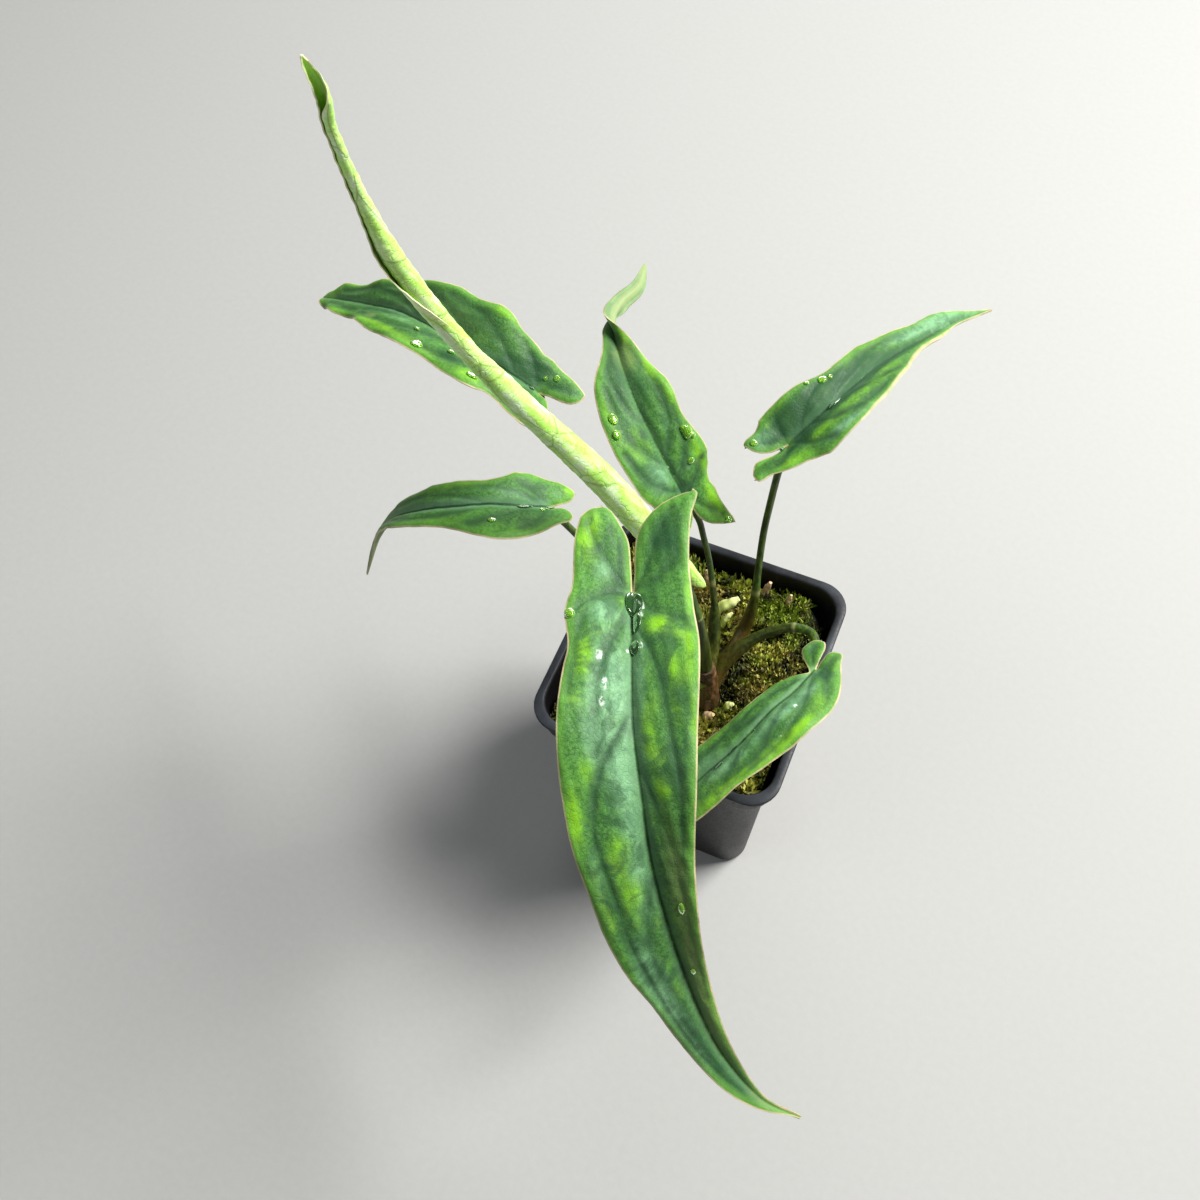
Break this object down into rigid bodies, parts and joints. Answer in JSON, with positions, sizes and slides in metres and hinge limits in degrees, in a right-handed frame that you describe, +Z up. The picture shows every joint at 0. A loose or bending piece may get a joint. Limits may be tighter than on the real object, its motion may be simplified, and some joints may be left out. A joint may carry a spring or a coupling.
{
  "type": "potted arrow-leaf houseplant",
  "caption": "Young climbing aroid with narrow arrow-shaped leaves on thin stalks and a new leaf still rolled up, growing in damp moss in a small square tapered nursery pot.",
  "frame": {"origin": "middle of the pot's flat underside, the plane it stands on", "axes": "+Z up; X and Y along the pot's sides; the large front leaf points towards -Y, the rolled leaf leans towards -X"},
  "size_m": [0.1831, 0.2266, 0.3012],
  "materials": {
    "pot_plastic": "thin formed plastic, satin",
    "moss": "damp long-fibred moss; fabric stands in for it",
    "stem": "fleshy stem, satin; leather stands in for it",
    "leaf_stalk": "fleshy stalk, satin; leather stands in for it",
    "leaf_blade": "velvety leaf, satin; leather stands in for it",
    "young_leaf": "young leaf, glossy; leather stands in for it"
  },
  "bodies": {
    "root": {"pot": "pot_plastic", "moss": "moss", "stem": "stem", "petiole_front": "leaf_stalk", "blade_front": "leaf_blade", "petiole_right_front": "leaf_stalk", "blade_right_front": "leaf_blade", "petiole_right_back": "leaf_stalk", "blade_right_back": "leaf_blade", "petiole_middle_back": "leaf_stalk", "blade_middle_back": "leaf_blade", "petiole_back_left": "leaf_stalk", "blade_back_left": "leaf_blade", "petiole_left": "leaf_stalk", "blade_left": "leaf_blade", "petiole_new_leaf": "leaf_stalk", "new_leaf_rolled": "young_leaf"}
  },
  "joints": []
}
